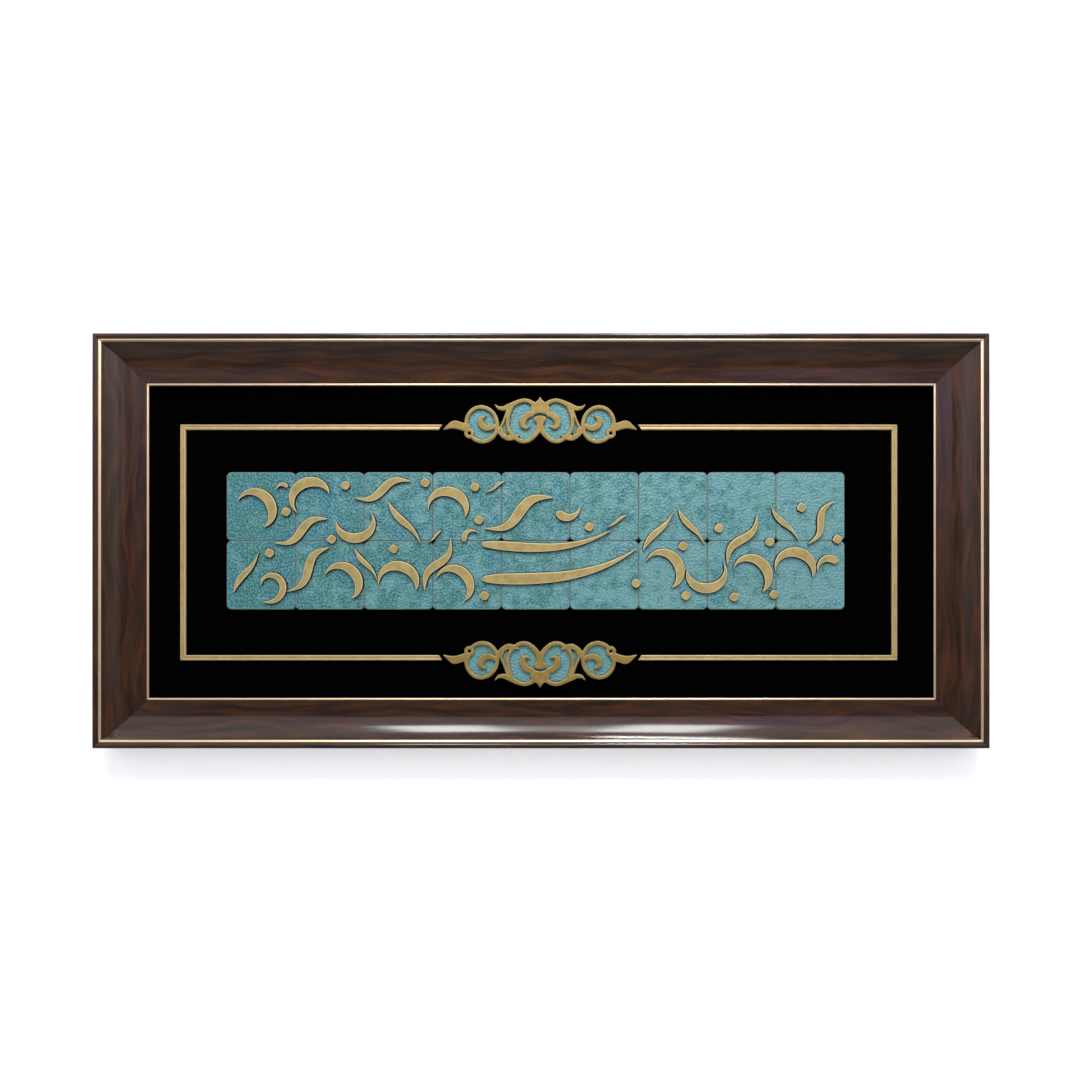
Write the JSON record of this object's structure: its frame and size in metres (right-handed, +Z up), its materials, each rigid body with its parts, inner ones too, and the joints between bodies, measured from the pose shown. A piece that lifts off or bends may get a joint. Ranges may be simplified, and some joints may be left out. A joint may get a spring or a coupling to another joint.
{
  "type": "framed relief wall panel",
  "caption": "Wide walnut frame with gilt lines around a black field, a gilt border with scroll ornaments, and a band of turquoise tiles with gilt relief strokes.",
  "frame": {"origin": "centre of the flat back, on the wall plane", "axes": "+X to the right along the panel's length as seen from the front, +Z up, +Y into the wall; the face looks along -Y"},
  "size_m": [1.274, 0.049, 0.59],
  "materials": {
    "walnut": "glossy dark walnut lacquer with gilt beads",
    "black_board": "matt black velvet covering on board",
    "gilt_trim": "satin gilt",
    "gilt_stroke": "matt gilt with dark sides",
    "turquoise_tile": "matt textured turquoise patina",
    "turquoise_ground": "matt textured turquoise patina"
  },
  "bodies": {
    "root": {"rail_bottom": "walnut", "rail_right": "walnut", "rail_top": "walnut", "rail_left": "walnut", "backing_board": "black_board", "border_bottom_left": "gilt_trim", "border_bottom_right": "gilt_trim", "border_right": "gilt_trim", "border_top_right": "gilt_trim", "border_top_left": "gilt_trim", "border_left": "gilt_trim", "scroll_top": "gilt_trim", "scroll_bottom": "gilt_trim", "ground_top": "turquoise_ground", "ground_bottom": "turquoise_ground", "tile_1_1": "turquoise_tile", "tile_1_2": "turquoise_tile", "tile_1_3": "turquoise_tile", "tile_1_4": "turquoise_tile", "tile_1_5": "turquoise_tile", "tile_1_6": "turquoise_tile", "tile_1_7": "turquoise_tile", "tile_1_8": "turquoise_tile", "tile_1_9": "turquoise_tile", "tile_2_1": "turquoise_tile", "tile_2_2": "turquoise_tile", "tile_2_3": "turquoise_tile", "tile_2_4": "turquoise_tile", "tile_2_5": "turquoise_tile", "tile_2_6": "turquoise_tile", "tile_2_7": "turquoise_tile", "tile_2_8": "turquoise_tile", "tile_2_9": "turquoise_tile", "stroke_01": "gilt_stroke", "stroke_02": "gilt_stroke", "stroke_03": "gilt_stroke", "stroke_04": "gilt_stroke", "stroke_05": "gilt_stroke", "stroke_06": "gilt_stroke", "stroke_07": "gilt_stroke", "stroke_08": "gilt_stroke", "stroke_09": "gilt_stroke", "stroke_10": "gilt_stroke", "stroke_11": "gilt_stroke", "stroke_12": "gilt_stroke", "stroke_13": "gilt_stroke", "stroke_14": "gilt_stroke", "stroke_15": "gilt_stroke", "stroke_16": "gilt_stroke", "stroke_17": "gilt_stroke", "stroke_18": "gilt_stroke", "stroke_19": "gilt_stroke", "stroke_20": "gilt_stroke", "stroke_21": "gilt_stroke", "stroke_22": "gilt_stroke", "stroke_23": "gilt_stroke", "stroke_24": "gilt_stroke", "stroke_25": "gilt_stroke", "stroke_26": "gilt_stroke", "stroke_27": "gilt_stroke"}
  },
  "joints": []
}
